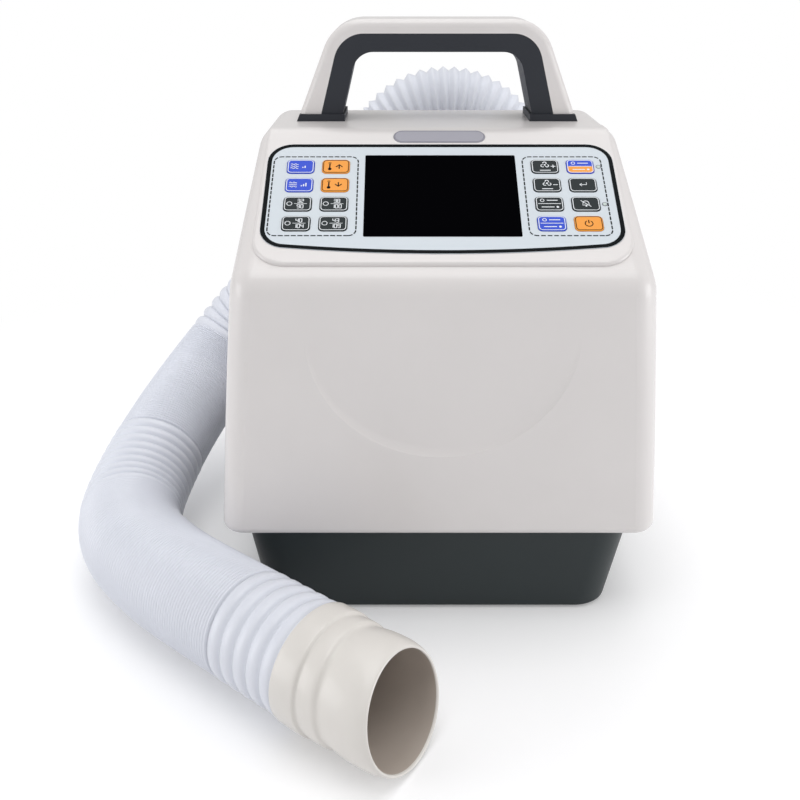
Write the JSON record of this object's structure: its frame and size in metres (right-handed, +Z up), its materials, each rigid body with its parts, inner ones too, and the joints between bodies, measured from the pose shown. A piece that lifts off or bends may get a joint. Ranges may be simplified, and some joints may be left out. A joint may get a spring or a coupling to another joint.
{
  "type": "forced air warming unit",
  "caption": "Portable forced air warming unit with a sloping control face, top handle, dark base tray and a ribbed air hose that arches behind it and ends in a stepped nozzle at its front.",
  "frame": {"origin": "on the table, under the middle of the unit with its outlet elbow and without its hose, cuff and nozzle", "axes": "+X to the right as seen from the front, +Y to the rear, +Z up"},
  "size_m": [0.4371, 0.4883, 0.4062],
  "materials": {
    "shell": "fine satin texture",
    "base": "fine texture",
    "rubber": "matt",
    "filter": "felted",
    "handle_lining": "satin",
    "steel": "satin",
    "overlay": "satin film",
    "display": "clear gloss over black",
    "module": "plain",
    "lamp": "frosted",
    "led": "clear",
    "board": "lacquered",
    "black_plastic": "plain",
    "key_dark": "satin",
    "key_blue": "satin",
    "key_orange": "satin",
    "blower": "plain",
    "motor": "plain",
    "duct": "plain",
    "cuff": "satin",
    "hose": "satin",
    "nozzle": "satin"
  },
  "bodies": {
    "housing": {"air_filter": "filter", "alarm_lamp_lens": "lamp", "base_tray": "base", "board_screws": "steel", "buzzer": "black_plastic", "control_board": "board", "control_panel": "overlay", "display_lens": "display", "display_module": "module", "fan_motor": "motor", "filter_cover": "base", "front_shell": "shell", "handle_cover": "shell", "handle_grip": "handle_lining", "handle_screws": "steel", "heater_duct": "duct", "heater_element": "steel", "hose": "hose", "hose_cuff": "cuff", "housing_screws": "steel", "key_switches": "black_plastic", "mains_inlet": "black_plastic", "nozzle": "nozzle", "outlet_elbow": "cuff", "power_board": "board", "rear_cover": "shell", "rubber_feet": "rubber", "scroll_lower": "blower", "scroll_upper": "blower", "status_leds": "led", "switch_frame": "black_plastic", "thermostat": "black_plastic"},
    "key_1_1_body": {"key_1_1": "key_blue"},
    "key_1_2_body": {"key_1_2": "key_orange"},
    "key_1_3_body": {"key_1_3": "key_dark"},
    "key_1_4_body": {"key_1_4": "key_blue"},
    "key_2_1_body": {"key_2_1": "key_blue"},
    "key_2_2_body": {"key_2_2": "key_orange"},
    "key_2_3_body": {"key_2_3": "key_dark"},
    "key_2_4_body": {"key_2_4": "key_dark"},
    "key_3_1_body": {"key_3_1": "key_dark"},
    "key_3_2_body": {"key_3_2": "key_dark"},
    "key_3_3_body": {"key_3_3": "key_dark"},
    "key_3_4_body": {"key_3_4": "key_dark"},
    "key_4_1_body": {"key_4_1": "key_dark"},
    "key_4_2_body": {"key_4_2": "key_dark"},
    "key_4_3_body": {"key_4_3": "key_blue"},
    "key_4_4_body": {"key_4_4": "key_orange"},
    "fan": {"fan_wheel": "blower", "fan_shaft": "steel"},
    "rocker": {"power_rocker": "black_plastic"}
  },
  "joints": [
    {"name": "press_1_1", "type": "slide", "parent": "housing", "child": "key_1_1_body", "axis": [0, 0.509, -0.8607], "range_m": [0, 0.0006], "stiffness_N_per_m": 600, "springref_m": -0.0005},
    {"name": "press_1_2", "type": "slide", "parent": "housing", "child": "key_1_2_body", "axis": [0, 0.509, -0.8607], "range_m": [0, 0.0006], "stiffness_N_per_m": 600, "springref_m": -0.0005},
    {"name": "press_1_3", "type": "slide", "parent": "housing", "child": "key_1_3_body", "axis": [0, 0.509, -0.8607], "range_m": [0, 0.0006], "stiffness_N_per_m": 600, "springref_m": -0.0005},
    {"name": "press_1_4", "type": "slide", "parent": "housing", "child": "key_1_4_body", "axis": [0, 0.509, -0.8607], "range_m": [0, 0.0006], "stiffness_N_per_m": 600, "springref_m": -0.0005},
    {"name": "press_2_1", "type": "slide", "parent": "housing", "child": "key_2_1_body", "axis": [0, 0.509, -0.8607], "range_m": [0, 0.0006], "stiffness_N_per_m": 600, "springref_m": -0.0005},
    {"name": "press_2_2", "type": "slide", "parent": "housing", "child": "key_2_2_body", "axis": [0, 0.509, -0.8607], "range_m": [0, 0.0006], "stiffness_N_per_m": 600, "springref_m": -0.0005},
    {"name": "press_2_3", "type": "slide", "parent": "housing", "child": "key_2_3_body", "axis": [0, 0.509, -0.8607], "range_m": [0, 0.0006], "stiffness_N_per_m": 600, "springref_m": -0.0005},
    {"name": "press_2_4", "type": "slide", "parent": "housing", "child": "key_2_4_body", "axis": [0, 0.509, -0.8607], "range_m": [0, 0.0006], "stiffness_N_per_m": 600, "springref_m": -0.0005},
    {"name": "press_3_1", "type": "slide", "parent": "housing", "child": "key_3_1_body", "axis": [0, 0.509, -0.8607], "range_m": [0, 0.0006], "stiffness_N_per_m": 600, "springref_m": -0.0005},
    {"name": "press_3_2", "type": "slide", "parent": "housing", "child": "key_3_2_body", "axis": [0, 0.509, -0.8607], "range_m": [0, 0.0006], "stiffness_N_per_m": 600, "springref_m": -0.0005},
    {"name": "press_3_3", "type": "slide", "parent": "housing", "child": "key_3_3_body", "axis": [0, 0.509, -0.8607], "range_m": [0, 0.0006], "stiffness_N_per_m": 600, "springref_m": -0.0005},
    {"name": "press_3_4", "type": "slide", "parent": "housing", "child": "key_3_4_body", "axis": [0, 0.509, -0.8607], "range_m": [0, 0.0006], "stiffness_N_per_m": 600, "springref_m": -0.0005},
    {"name": "press_4_1", "type": "slide", "parent": "housing", "child": "key_4_1_body", "axis": [0, 0.509, -0.8607], "range_m": [0, 0.0006], "stiffness_N_per_m": 600, "springref_m": -0.0005},
    {"name": "press_4_2", "type": "slide", "parent": "housing", "child": "key_4_2_body", "axis": [0, 0.509, -0.8607], "range_m": [0, 0.0006], "stiffness_N_per_m": 600, "springref_m": -0.0005},
    {"name": "press_4_3", "type": "slide", "parent": "housing", "child": "key_4_3_body", "axis": [0, 0.509, -0.8607], "range_m": [0, 0.0006], "stiffness_N_per_m": 600, "springref_m": -0.0005},
    {"name": "press_4_4", "type": "slide", "parent": "housing", "child": "key_4_4_body", "axis": [0, 0.509, -0.8607], "range_m": [0, 0.0006], "stiffness_N_per_m": 600, "springref_m": -0.0005},
    {"name": "fan_spin", "type": "hinge", "parent": "housing", "child": "fan", "pos_m": [-0.0125, -0.05, 0.13], "axis": [0, 0, 1], "continuous": true},
    {"name": "power_switch", "type": "hinge", "parent": "housing", "child": "rocker", "pos_m": [-0.058, 0.069, 0.116], "axis": [1, 0, 0], "range_deg": [-18, 0]}
  ]
}
